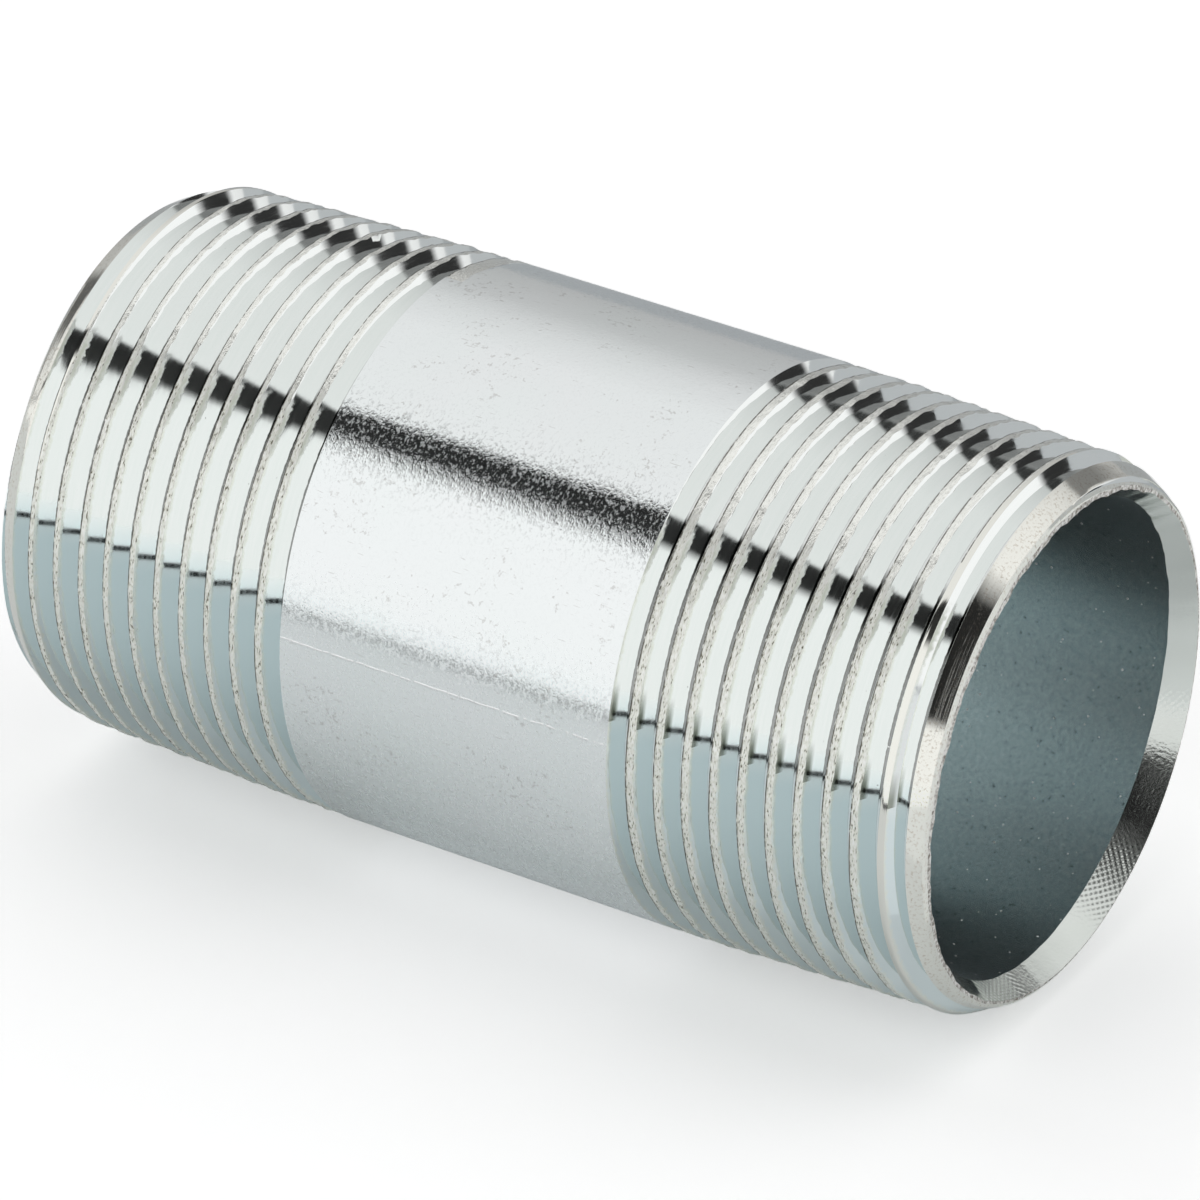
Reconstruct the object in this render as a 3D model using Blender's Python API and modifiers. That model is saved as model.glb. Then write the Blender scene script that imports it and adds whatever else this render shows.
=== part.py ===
"""Threaded pipe nipple: one length of steel pipe with a taper pipe thread cut on each end.

The nipple lies on its side. Its axis is world X, its rest line is at the origin, and the end that the viewer
faces is +X. Sizes are in millimetres until a shape is made. The pipe is first built upright, with its axis on
local Z and the near end on top, and is then laid down.
"""
import math

import bmesh
import bpy
from mathutils import Matrix, Vector

MM = 0.001

# Pipe
LENGTH = 77.0
OUTER_DIAMETER = 41.8
WALL = 3.3

# Thread: 11.5 turns to the inch, 60 degree flanks, taper of 1 in 16 on the diameter
PITCH = 25.4 / 11.5
FLANK_ANGLE = math.radians(60.0)
TAPER = 1.0 / 16.0
CREST_FLAT = 0.53
ROOT_FLAT = 0.085
CREST_CONE_LENGTH = 20.2     # from the end face to where the crests reach the pipe's own outside

# Each thread ends in the barrel where its groove has risen out of the pipe
NEAR_THREAD_LENGTH = 25.0
FAR_THREAD_LENGTH = 26.5
NEAR_RUNOUT_ANGLE = math.radians(0.0)
FAR_RUNOUT_ANGLE = math.radians(189.0)
RUNOUT_TURNS = 1.0

# Pipe ends: a turned lead on the outside, a flat land, and a reamed mouth
LEAD_DROP = 1.22             # from the crest cone down to the land, measured on the radius
LEAD_ANGLE = math.radians(24.0)
LAND_WIDTH = 0.55
REAM_LENGTH = 1.3

# Roundness: flats round the pipe, with each flat's middle on the true circle
FACETS = 40
CORNER_GAP = 0.002           # corners of the turned blank or of its cuts that lie closer than this are one
SHARP_EDGE = math.radians(20.0)

# Bright zinc plate
ZINC_COLOUR = (0.72, 0.75, 0.74, 1.0)
ZINC_ROUGHNESS = 0.25

# Sizes that follow
HALF = LENGTH / 2
PIPE_RADIUS = OUTER_DIAMETER / 2
BORE_RADIUS = PIPE_RADIUS - WALL
RADIUS_SLOPE = TAPER / 2
CREST_RADIUS_AT_END = PIPE_RADIUS - RADIUS_SLOPE * CREST_CONE_LENGTH
FLANK_SPREAD = math.tan(FLANK_ANGLE / 2)
THREAD_DEPTH = (PITCH - CREST_FLAT - ROOT_FLAT) / (2 * FLANK_SPREAD)
LAND_RADIUS = CREST_RADIUS_AT_END - LEAD_DROP
MOUTH_RADIUS = LAND_RADIUS - LAND_WIDTH
LEAD_LENGTH = LEAD_DROP / (math.tan(LEAD_ANGLE) - RADIUS_SLOPE)
LEAD_RADIUS = CREST_RADIUS_AT_END + RADIUS_SLOPE * LEAD_LENGTH
FLAT_TO_CORNER = 1.0 / math.cos(math.pi / FACETS)
CUTTER_RISE = 0.3 * CREST_FLAT    # the cutter stands this far above the crests


def clear_scene():
    for old in list(bpy.data.objects):
        bpy.data.objects.remove(old, do_unlink=True)


def new_collection(name):
    collection = bpy.data.collections.new(name)
    bpy.context.scene.collection.children.link(collection)
    return collection


def new_object(name, mesh, collection):
    obj = bpy.data.objects.new(name, mesh)
    collection.objects.link(obj)
    return obj


def lay_down():
    """The upright pipe turned onto its side, with one of its flats on the ground."""
    lift = Matrix.Translation((0.0, 0.0, PIPE_RADIUS * MM))
    flat_down = Matrix.Rotation(math.pi / FACETS, 4, 'Z')
    return lift @ Matrix.Rotation(math.pi / 2, 4, 'Y') @ flat_down


def end_profile():
    """Outside of one end, from the mouth to the barrel, as (radius, depth below the end face)."""
    return [
        (MOUTH_RADIUS, 0.0),
        (LAND_RADIUS, 0.0),
        (LEAD_RADIUS, LEAD_LENGTH),
        (PIPE_RADIUS, CREST_CONE_LENGTH),
    ]


def blank_pipe(collection):
    """The pipe as it is before threading: bore, reamed mouths, lands, leads and crest cones."""
    near = [(radius, HALF - depth) for radius, depth in end_profile()]
    far = [(radius, -height) for radius, height in reversed(near)]
    bore = [(BORE_RADIUS, REAM_LENGTH - HALF), (BORE_RADIUS, HALF - REAM_LENGTH)]
    section = near + far + bore
    points = [(radius * FLAT_TO_CORNER * MM, 0.0, height * MM) for radius, height in section]
    edges = [(i, (i + 1) % len(points)) for i in range(len(points))]
    mesh = bpy.data.meshes.new("pipe_nipple")
    mesh.from_pydata(points, edges, [])
    pipe = new_object("pipe_nipple", mesh, collection)
    turn = pipe.modifiers.new("turned", 'SCREW')
    turn.steps = FACETS
    turn.render_steps = FACETS
    turn.use_merge_vertices = True
    turn.merge_threshold = CORNER_GAP * MM
    turn.use_normal_calculate = True
    return pipe


def groove_section():
    """The groove's outline as (radius, height), at the depth of the end face and about its own middle."""
    root = CREST_RADIUS_AT_END - THREAD_DEPTH
    top = CREST_RADIUS_AT_END + CUTTER_RISE
    half_root = ROOT_FLAT / 2
    half_top = half_root + FLANK_SPREAD * (top - root)
    return [(root, -half_root), (root, half_root), (top, half_top), (top, -half_top)]


def rise_from_root(turns):
    """How far the groove is lifted out of the pipe, this many turns from its runout."""
    cut = min(turns / RUNOUT_TURNS, 1.0)
    return THREAD_DEPTH * (1.0 - math.sin(cut * math.pi / 2))


def groove_cutter(name, thread_length, runout_angle, collection):
    """A right-hand helical bar that removes one thread's groove from the upper end of the pipe."""
    turns = thread_length / PITCH + 1.0
    steps = math.ceil(turns * FACETS)
    step_angle = math.tau / FACETS
    bm = bmesh.new()
    section = [bm.verts.new((radius, 0.0, height)) for radius, height in groove_section()]
    start = bm.faces.new(section)
    bmesh.ops.spin(bm, geom=[start] + list(start.edges) + section, cent=(0, 0, 0), axis=(0, 0, 1),
                   dvec=(0, 0, PITCH / FACETS), angle=steps * step_angle, steps=steps)
    for vert in bm.verts:
        turned = vert.co.z / PITCH
        depth = thread_length - vert.co.z
        radius = math.hypot(vert.co.x, vert.co.y)
        wanted = radius + RADIUS_SLOPE * depth + rise_from_root(turned)
        scale = wanted / radius * FLAT_TO_CORNER
        vert.co = Vector((vert.co.x * scale, vert.co.y * scale, HALF - depth)) * MM
    bmesh.ops.rotate(bm, verts=bm.verts, cent=(0, 0, 0), matrix=Matrix.Rotation(runout_angle, 3, 'Z'))
    bmesh.ops.recalc_face_normals(bm, faces=bm.faces)
    mesh = bpy.data.meshes.new(name)
    bm.to_mesh(mesh)
    bm.free()
    cutter = new_object(name, mesh, collection)
    cutter.hide_render = True
    cutter.display_type = 'WIRE'
    return cutter


def cut(target, cutter):
    groove = target.modifiers.new(cutter.name, 'BOOLEAN')
    groove.operation = 'DIFFERENCE'
    groove.solver = 'EXACT'
    groove.object = cutter
    joined = target.modifiers.new(cutter.name + "_corners", 'WELD')
    joined.merge_threshold = CORNER_GAP * MM


def finish(pipe):
    """Keep the cut pipe as one mesh, smooth round the pipe and sharp along the thread's edges."""
    evaluated = pipe.evaluated_get(bpy.context.evaluated_depsgraph_get())
    mesh = bpy.data.meshes.new_from_object(evaluated)
    mesh.name = pipe.name
    pipe.modifiers.clear()
    pipe.data = mesh
    mesh.shade_smooth()
    mesh.set_sharp_from_angle(angle=SHARP_EDGE)


def zinc_plate():
    material = bpy.data.materials.new("bright_zinc_plate")
    material.use_nodes = True
    shader = material.node_tree.nodes["Principled BSDF"]
    shader.inputs["Base Color"].default_value = ZINC_COLOUR
    shader.inputs["Metallic"].default_value = 1.0
    shader.inputs["Roughness"].default_value = ZINC_ROUGHNESS
    return material


def build():
    clear_scene()
    parts = new_collection("threaded_pipe_nipple")
    cutters = new_collection("thread_cutters")
    pipe = blank_pipe(parts)
    near = groove_cutter("near_thread_groove", NEAR_THREAD_LENGTH, NEAR_RUNOUT_ANGLE, cutters)
    far = groove_cutter("far_thread_groove", FAR_THREAD_LENGTH, FAR_RUNOUT_ANGLE, cutters)
    pipe.matrix_world = lay_down()
    near.matrix_world = lay_down()
    far.matrix_world = lay_down() @ Matrix.Rotation(math.pi, 4, 'X')
    cut(pipe, near)
    cut(pipe, far)
    pipe.data.materials.append(zinc_plate())
    finish(pipe)


build()
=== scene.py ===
"""Threaded pipe nipple, dressed: bright zinc plate over a rolled barrel, die-cut threads and turned ends.

The nipple lies on its side along X with its near end at +X. An angle round the pipe runs from +Y towards
+Z, so 90 degrees is the top, 180 the side that the camera sees and 270 the underside. Sizes are in
millimetres until they become vertices.
"""
import math

import bpy
import numpy as np
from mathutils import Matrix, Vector, noise


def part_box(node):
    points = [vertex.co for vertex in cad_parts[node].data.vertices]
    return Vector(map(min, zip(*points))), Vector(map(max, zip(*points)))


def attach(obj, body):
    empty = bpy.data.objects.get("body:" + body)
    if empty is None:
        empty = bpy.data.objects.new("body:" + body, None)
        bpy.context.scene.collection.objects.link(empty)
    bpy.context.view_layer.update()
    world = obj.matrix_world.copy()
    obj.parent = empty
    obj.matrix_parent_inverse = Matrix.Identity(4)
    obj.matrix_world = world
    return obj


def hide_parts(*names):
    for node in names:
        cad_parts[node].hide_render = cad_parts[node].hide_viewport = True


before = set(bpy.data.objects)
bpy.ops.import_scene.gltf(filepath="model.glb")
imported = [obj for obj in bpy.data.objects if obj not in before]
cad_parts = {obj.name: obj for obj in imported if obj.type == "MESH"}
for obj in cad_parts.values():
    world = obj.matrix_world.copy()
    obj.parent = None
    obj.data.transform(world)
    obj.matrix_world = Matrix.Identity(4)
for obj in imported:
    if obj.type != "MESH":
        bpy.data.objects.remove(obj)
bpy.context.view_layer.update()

MM = 0.001
NODE = "pipe_nipple"
BODY = "root"
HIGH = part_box(NODE)[1] / MM

# Pipe
HALF = HIGH.x
PIPE_RADIUS = HIGH.z / 2
AXIS_HEIGHT = PIPE_RADIUS
WALL = 3.3
BORE_RADIUS = PIPE_RADIUS - WALL

# Thread: 11.5 turns to the inch, 60 degree flanks, taper of 1 in 16 on the diameter
PITCH = 25.4 / 11.5
FLANK_SPREAD = math.tan(math.radians(30.0))
RADIUS_SLOPE = 1.0 / 32.0
CREST_FLAT = 0.53
ROOT_FLAT = 0.085
CREST_EDGE = (PITCH - CREST_FLAT) / 2        # from the middle of a groove to the edge of a crest
THREAD_DEPTH = (PITCH - CREST_FLAT - ROOT_FLAT) / (2 * FLANK_SPREAD)
CREST_CONE_LENGTH = 20.2
CREST_RADIUS_AT_END = PIPE_RADIUS - RADIUS_SLOPE * CREST_CONE_LENGTH
NEAR_THREAD_LENGTH = 25.3
FAR_THREAD_LENGTH = 26.2
NEAR_RUNOUT_ANGLE = -85.5
FAR_RUNOUT_ANGLE = 85.5
NEAR_RUNOUT_TURNS = 0.55
FAR_RUNOUT_TURNS = 0.8
# The die cut the far thread this much deeper, so its crests are narrower
FAR_EXTRA_DEPTH = 0.15
# Beyond its runout a groove is lifted clear of the pipe by this many thread depths
LIFTED_CLEAR = 2.0
# The tears that the die left in the crests, and the finer ones among them: their share, and how much finer
TEAR_DEPTH = 0.12
TEAR_LENGTH = 1.0
FINE_TEARS = (0.5, 2.3)

# Pipe ends: a rounded lead outside, a lip, a flat land, and a mouth reamed a little off the pipe's centre
LEAD_DROP = 1.22
LEAD_SLOPE = 0.54
BRIGHT_CREST = 3.3           # the crest nearest the end, within this depth, is burnished smooth
LAND_RADIUS = CREST_RADIUS_AT_END - LEAD_DROP
LIP_ALONG = 0.1
LIP_ACROSS = 0.28
MOUTH_RADIUS = 18.5
LAND_WIDTH = LAND_RADIUS - MOUTH_RADIUS
REAM_SLOPE = 0.9 / 1.3
REAM_SHIFT = 0.45
REAM_SHIFT_ANGLE = -47.0
REAM_RUN = (MOUTH_RADIUS - BORE_RADIUS) / REAM_SLOPE
REAM_WIDTH = math.hypot(REAM_RUN, MOUTH_RADIUS - BORE_RADIUS)
END_TURN_IN = LAND_WIDTH + REAM_WIDTH
END_CORNERS = [side * (HALF + turn_in) for turn_in in (-LIP_ALONG, LIP_ACROSS, LAND_WIDTH, END_TURN_IN)
               for side in (1, -1)]
BURR_WAVES = ((0.08, 23, 0.4), (0.06, 41, 2.1), (0.05, 83, 4.0))    # height, count round the mouth, phase

WELD_ANGLE = 173.0           # the tube seam

# Mesh: columns follow the thread's helix, so that a column keeps its place on the thread all the way round
SEGMENTS = 256
SEAM_ANGLE = -90.0
FLANK_COLUMNS = 2
CREST_COLUMNS = 4
PER_PITCH = 2 * (FLANK_COLUMNS + 2) + CREST_COLUMNS
BARREL_COLUMNS = 8
BORE_COLUMNS = 12
OUTLINE = 2 * (2 * HALF + END_TURN_IN) - 2 * REAM_RUN       # once round the pipe wall's section
SHARP_EDGE = math.radians(32.0)
SAME_POINT = 0.001           # points closer than this are one
# Columns slide to the edges of a groove: the rounds it takes to find an edge, the least distance of an edge
# from the groove's middle, the depth under which a groove is too shallow to slide to in full, and the share
# of the way to the lip that a column may move
EDGE_ROUNDS = 6
LEAST_EDGE = 0.05
SHALLOW_CUT = 0.1
END_CLEARANCE = 0.9

# Camera: a long lens, as a catalogue shot has
CAMERA_PLACE = Vector((320.56, -503.74, 356.03 + AXIS_HEIGHT))
CAMERA_AIM = Vector((0.29, 0.0, AXIS_HEIGHT - 0.58))
LENS = 292.9
SENSOR = 36.0
CLIP_START = 10.0

# Kinds of shader node
MATH = "ShaderNodeMath"
VECTOR_MATH = "ShaderNodeVectorMath"
MAP_RANGE = "ShaderNodeMapRange"
MIX = "ShaderNodeMix"
RAMP = "ShaderNodeValToRGB"
NOISE = "ShaderNodeTexNoise"
BUMP = "ShaderNodeBump"
SEPARATE = "ShaderNodeSeparateXYZ"
COORDINATES = "ShaderNodeTexCoord"
ATTRIBUTE = "ShaderNodeAttribute"
LIGHT_PATH = "ShaderNodeLightPath"


def linear(hex_colour):
    """An sRGB hex colour as the linear RGBA that a shader takes."""
    channels = [int(hex_colour[i:i + 2], 16) / 255 for i in (1, 3, 5)]
    return [c / 12.92 if c <= 0.04045 else ((c + 0.055) / 1.055) ** 2.4 for c in channels] + [1.0]


def add_node(tree, kind, values=None, links=None, **settings):
    """Add a node with its settings, the values of its inputs, and the links into its inputs."""
    node = tree.nodes.new(kind)
    for name, value in settings.items():
        setattr(node, name, value)
    for name, value in (values or {}).items():
        node.inputs[name].default_value = value
    for name, socket in (links or {}).items():
        tree.links.new(socket, node.inputs[name])
    return node


# Nipple shape
def near_root(angle):
    """Where the near groove's middle crosses this angle, on the turn where the groove starts."""
    return HALF - NEAR_THREAD_LENGTH + PITCH * (angle - NEAR_RUNOUT_ANGLE) / 360


def far_root(angle):
    """The same for the far groove."""
    return FAR_THREAD_LENGTH - HALF + PITCH * (angle - FAR_RUNOUT_ANGLE) / 360


def crest_cone(x):
    """Radius of the taper that the crests lie on, without regard to the pipe's outside."""
    return CREST_RADIUS_AT_END + RADIUS_SLOPE * (HALF - np.abs(x))


def blank(x):
    """Radius of the pipe before threading: barrel, crest cone and lead."""
    lead = LAND_RADIUS + LEAD_SLOPE * (HALF - np.abs(x))
    return np.minimum(np.minimum(PIPE_RADIUS, crest_cone(x)), lead)


def nearest_groove(x, angle):
    """Middle of the nearest turn of a groove, and how far that turn is lifted out of the pipe."""
    is_near = x > 0
    first = np.where(is_near, near_root(angle), far_root(angle))
    sense = np.where(is_near, 1.0, -1.0)
    whole = np.round(sense * (x - first) / PITCH)
    start = np.where(is_near, NEAR_RUNOUT_ANGLE, FAR_RUNOUT_ANGLE)
    from_runout = whole + sense * (angle - start) / 360
    cut = np.clip(from_runout / np.where(is_near, NEAR_RUNOUT_TURNS, FAR_RUNOUT_TURNS), 0.0, 1.0)
    lift = np.where(from_runout < 0, LIFTED_CLEAR, 1 - np.sin(cut * math.pi / 2)) * THREAD_DEPTH
    return first + sense * whole * PITCH, lift


def extra_depth(x):
    return np.where(x < 0, FAR_EXTRA_DEPTH, 0.0)


def groove_radius(x, middle, lift):
    """Radius of a groove's flanks and root."""
    height = np.maximum(np.abs(x - middle) - ROOT_FLAT / 2, 0.0) / FLANK_SPREAD
    return crest_cone(x) - THREAD_DEPTH - extra_depth(x) + height + lift


def outside(x, angle):
    """Radius of the outside of the threaded pipe."""
    return np.minimum(blank(x), groove_radius(x, *nearest_groove(x, angle)))


def slide_to_cut(x, angle):
    """Move x so that the columns made for a groove's edges lie on the edges that the groove has here."""
    middle, lift = nearest_groove(x, angle)
    side = np.where(x < middle, -1.0, 1.0)
    edge = np.full_like(x, CREST_EDGE)
    widest = CREST_EDGE + FLANK_SPREAD * extra_depth(x)
    for _ in range(EDGE_ROUNDS):
        at_edge = middle + side * edge
        room = blank(at_edge) - groove_radius(middle, middle, lift)
        edge = np.clip(ROOT_FLAT / 2 + FLANK_SPREAD * room, LEAST_EDGE, widest)
    offset = np.abs(x - middle)
    on_crest = edge + (offset - CREST_EDGE) * (PITCH / 2 - edge) / (PITCH / 2 - CREST_EDGE)
    slid = middle + side * np.where(offset < CREST_EDGE, offset * edge / CREST_EDGE, on_crest)
    cut_here = np.clip(room / SHALLOW_CUT, 0.0, 1.0)
    reach = END_CLEARANCE * np.maximum(HALF - LIP_ALONG - np.abs(x), 0.0)
    return x + np.clip((slid - x) * cut_here, -reach, reach)


def mouth(angle):
    """Radius of the mouth's edge about the pipe's axis: the reamer sat off centre and left a burr."""
    turn = np.radians(angle)
    away = np.cos(turn - math.radians(REAM_SHIFT_ANGLE))
    burr = sum(height * np.sin(count * turn + phase) for height, count, phase in BURR_WAVES)
    return MOUTH_RADIUS + REAM_SHIFT * away + burr * (0.5 - 0.5 * away)


def on_outline(place):
    """The place brought back to the one turn of the section's outline that starts in the far mouth."""
    return (place + HALF + END_TURN_IN) % OUTLINE - HALF - END_TURN_IN


def section_point(place, angle):
    """The point (x, radius) at this place along the section's outline."""
    place = on_outline(place)
    edge = mouth(angle)
    depth = (edge - BORE_RADIUS) / REAM_SLOPE
    lip = LAND_RADIUS + (edge - LAND_RADIUS) * LIP_ACROSS / LAND_WIDTH
    shoulder = HALF - LIP_ALONG
    stations = [
        (-HALF - END_TURN_IN, depth - HALF, BORE_RADIUS),
        (-HALF - LAND_WIDTH, -HALF, edge),
        (-HALF - LIP_ACROSS, -HALF, lip),
        (-shoulder, -shoulder, outside(np.full_like(place, -shoulder), angle)),
        (shoulder, shoulder, outside(np.full_like(place, shoulder), angle)),
        (HALF + LIP_ACROSS, HALF, lip),
        (HALF + LAND_WIDTH, HALF, edge),
        (HALF + END_TURN_IN, HALF - depth, BORE_RADIUS),
        (OUTLINE - HALF - END_TURN_IN, depth - HALF, BORE_RADIUS),
    ]
    x = np.zeros_like(place)
    radius = np.zeros_like(place)
    for (start, x0, r0), (stop, x1, r1) in zip(stations[:-1], stations[1:]):
        share = (place - start) / (stop - start)
        inside = (share >= 0) & (share <= 1)
        x = np.where(inside, x0 + (x1 - x0) * share, x)
        radius = np.where(inside, r0 + (r1 - r0) * share, radius)
    on_outside = np.abs(place) < shoulder
    x = np.where(on_outside, slide_to_cut(x, angle), x)
    radius = np.where(on_outside, outside(x, angle), radius)
    return x, radius


def on_thread(x, angle):
    """Whether x lies on the thread's side of the first turn of its groove, and not on the barrel."""
    first_near = near_root(NEAR_RUNOUT_ANGLE + (angle - NEAR_RUNOUT_ANGLE) % 360)
    first_far = far_root(FAR_RUNOUT_ANGLE - (FAR_RUNOUT_ANGLE - angle) % 360)
    return (x > first_near) | (x < first_far)


def torn(place, angle, x, radius):
    """Tear the crests: the die left them ragged, and where one is lower its edges stay on the flanks."""
    place = on_outline(place)
    middle, lift = nearest_groove(place, angle)
    offset = place - middle
    on_crest = np.abs(offset) > CREST_EDGE - SAME_POINT
    in_thread = (np.abs(place) < HALF - LIP_ALONG) & on_thread(place, angle)
    strength = np.clip(2 - 2 * lift / THREAD_DEPTH, 0.0, 1.0) * (on_crest & in_thread)
    strength = strength * np.clip(HALF - BRIGHT_CREST - np.abs(x), 0.0, 1.0)
    from_crest = (PITCH / 2 - np.abs(offset)) / (CREST_FLAT / 2)
    turn = np.radians(angle)
    spots = np.stack([x, radius * np.cos(turn), radius * np.sin(turn)], axis=1) / TEAR_LENGTH
    for i in np.flatnonzero(strength > 0):
        spot = Vector(spots[i])
        low = noise.noise(spot) + FINE_TEARS[0] * noise.noise(spot * FINE_TEARS[1])
        drop = TEAR_DEPTH * strength[i] * min(max(0.5 + low, 0.0), 1.0)
        radius[i] -= drop
        x[i] -= math.copysign(FLANK_SPREAD * drop, offset[i]) * from_crest[i]
    return x, radius


def finish_of(place, angle):
    """Which finish the surface has at this place, as its place in FINISHES."""
    place = on_outline(place)
    finishes = list(FINISHES)
    x = np.where(np.abs(place) < HALF - LIP_ALONG, slide_to_cut(place, angle), place)
    rules = [
        (np.abs(place) > HALF + END_TURN_IN, "drawn_bore"),
        (np.abs(place) > HALF + LAND_WIDTH, "reamed_mouth"),
        (np.abs(place) > HALF + LIP_ACROSS, "faced_land"),
        (np.abs(place) > HALF - LIP_ALONG, "turned_lead"),
        (groove_radius(x, *nearest_groove(x, angle)) < blank(x), "cut_flank"),
        (np.abs(x) > HALF - BRIGHT_CREST, "turned_lead"),
        (on_thread(x, angle), "torn_crest"),
    ]
    return np.select([test for test, name in rules], [finishes.index(name) for test, name in rules],
                     finishes.index("mill_skin"))


# Nipple mesh
def pitch_pattern():
    """Places of the columns along one pitch, from the middle of one groove to the middle of the next."""
    rising = np.linspace(ROOT_FLAT / 2, CREST_EDGE, FLANK_COLUMNS + 2)
    crest = np.linspace(CREST_EDGE, PITCH - CREST_EDGE, CREST_COLUMNS + 2)[1:-1]
    return np.concatenate([rising, crest, PITCH - rising[::-1]])


def column_places():
    """Places of the columns along the section's outline, on the ring where the mesh starts."""
    near_first = near_root(SEAM_ANGLE) - PITCH
    near_count = math.ceil((HALF + END_TURN_IN - near_first) / PITCH)
    far_last = far_root(SEAM_ANGLE) + 2 * PITCH
    far_count = math.ceil((far_last + HALF + END_TURN_IN) / PITCH) + 1
    turns_near = near_first + PITCH * np.arange(near_count)
    turns_far = far_last - PITCH * np.arange(far_count, 0, -1)
    near = (turns_near[:, None] + pitch_pattern()).ravel()
    far = (turns_far[:, None] + pitch_pattern()).ravel()
    barrel = np.linspace(far[-1], near[0], BARREL_COLUMNS + 2)[1:-1]
    bore = np.linspace(near[-1], far[0] + OUTLINE, BORE_COLUMNS + 2)[1:-1]
    return np.concatenate([far, barrel, near, bore])


def ring_places():
    """Places of all columns on each ring. Over a whole turn a column moves on by one pitch."""
    start = column_places()
    stop = np.concatenate([start[PER_PITCH:], start[:PER_PITCH] + OUTLINE])
    share = np.linspace(0.0, 1.0, SEGMENTS + 1)[:, None]
    places = start + (stop - start) * share
    rings = np.arange(SEGMENTS + 1)
    for corner in END_CORNERS:
        nearest = np.abs(places - corner).argmin(axis=1)
        places[rings, nearest] = corner
    return places


def faces_over_corners(mesh, place):
    """The faces that lie across a corner of a pipe end, with the corner along their diagonal."""
    corners = np.zeros(len(mesh.loops), dtype=int)
    mesh.loops.foreach_get("vertex_index", corners)
    on_corner = np.isin(place, END_CORNERS)[corners.reshape(-1, 4)]
    return on_corner[:, 1] & on_corner[:, 3] & ~on_corner[:, 0] & ~on_corner[:, 2]


def nipple_mesh():
    """A ring of the section's points, spun about the pipe's axis and drawn along the thread."""
    places = ring_places()
    columns = places.shape[1]
    bpy.ops.object.select_all(action='DESELECT')
    bpy.ops.mesh.primitive_circle_add(vertices=columns, radius=PIPE_RADIUS / 2 * MM,
                                      location=(0, PIPE_RADIUS * MM, AXIS_HEIGHT * MM))
    nipple = bpy.context.object
    nipple.name = "zinc_plated_nipple"
    bpy.ops.object.transform_apply(location=True)
    bpy.ops.object.mode_set(mode='EDIT')
    bpy.ops.mesh.select_all(action='SELECT')
    bpy.ops.mesh.spin(steps=SEGMENTS, angle=math.tau, center=(0, 0, AXIS_HEIGHT * MM), axis=(1, 0, 0),
                      use_auto_merge=False)
    bpy.ops.object.mode_set(mode='OBJECT')
    mesh = nipple.data
    spun = np.zeros(len(mesh.vertices) * 3)
    mesh.vertices.foreach_get("co", spun)
    spun = spun.reshape(-1, 3) / MM
    out = np.hypot(spun[:, 1], spun[:, 2] - AXIS_HEIGHT) - PIPE_RADIUS
    column = np.round(np.arctan2(spun[:, 0], out) / math.tau * columns).astype(int) % columns
    step = np.arange(len(spun)) // columns
    place = places[step, column]
    angle = SEAM_ANGLE + 360.0 * step / SEGMENTS
    x, radius = torn(place, angle, *section_point(place, angle))
    turn = np.radians(angle)
    points = np.stack([x, radius * np.cos(turn), AXIS_HEIGHT + radius * np.sin(turn)], axis=1) * MM
    mesh.vertices.foreach_set("co", points.ravel())
    bpy.ops.object.mode_set(mode='EDIT')
    bpy.ops.mesh.select_mode(type='FACE')
    bpy.ops.mesh.select_all(action='DESELECT')
    bpy.ops.object.mode_set(mode='OBJECT')
    mesh.polygons.foreach_set("select", faces_over_corners(mesh, place))
    bpy.ops.object.mode_set(mode='EDIT')
    bpy.ops.mesh.quads_convert_to_tris(quad_method='FIXED_ALTERNATE')
    bpy.ops.object.mode_set(mode='OBJECT')
    paint_roles(mesh, place, angle)
    bpy.ops.object.mode_set(mode='EDIT')
    bpy.ops.mesh.select_all(action='SELECT')
    bpy.ops.mesh.remove_doubles(threshold=SAME_POINT * MM)
    bpy.ops.mesh.normals_make_consistent(inside=False)
    bpy.ops.object.mode_set(mode='OBJECT')
    bpy.ops.object.shade_smooth_by_angle(angle=SHARP_EDGE)
    return nipple


def paint_roles(mesh, place, angle):
    """Give each face its finish, and each vertex its distance from the middle of the nearest groove."""
    corners = np.zeros(len(mesh.loops), dtype=int)
    mesh.loops.foreach_get("vertex_index", corners)
    starts = np.zeros(len(mesh.polygons), dtype=int)
    mesh.polygons.foreach_get("loop_start", starts)
    counts = np.zeros(len(mesh.polygons), dtype=int)
    mesh.polygons.foreach_get("loop_total", counts)
    first = np.repeat(place[corners[starts]], counts)
    beside_first = place[corners] + OUTLINE * np.round((first - place[corners]) / OUTLINE)
    face_place = np.add.reduceat(beside_first, starts) / counts
    face_angle = np.add.reduceat(angle[corners], starts) / counts
    mesh.polygons.foreach_set("material_index", finish_of(face_place, face_angle))
    wrapped = on_outline(place)
    middle, lift = nearest_groove(wrapped, angle)
    offset = wrapped - middle
    from_root = mesh.attributes.new("from_root", 'FLOAT', 'POINT')
    from_root.data.foreach_set("value", np.abs(offset))
    side = mesh.attributes.new("groove_side", 'FLOAT', 'POINT')
    side.data.foreach_set("value", np.sin(offset / PITCH * math.tau))


# Finishes
def new_finish(name):
    """A metal finish: its material, node tree and shader, and the place on the nipple in millimetres."""
    material = bpy.data.materials.new(name)
    material.use_nodes = True
    tree = material.node_tree
    shader = tree.nodes["Principled BSDF"]
    shader.inputs["Metallic"].default_value = 1.0
    spot = add_node(tree, COORDINATES).outputs["Object"]
    place = add_node(tree, VECTOR_MATH, {"Scale": 1 / MM}, {0: spot}, operation='SCALE')
    return material, tree, shader, place.outputs[0]


# The barrel is smoothest above the first of these heights and dullest below the second
BARREL_SHEEN = (30.0, 25.0)


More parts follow.
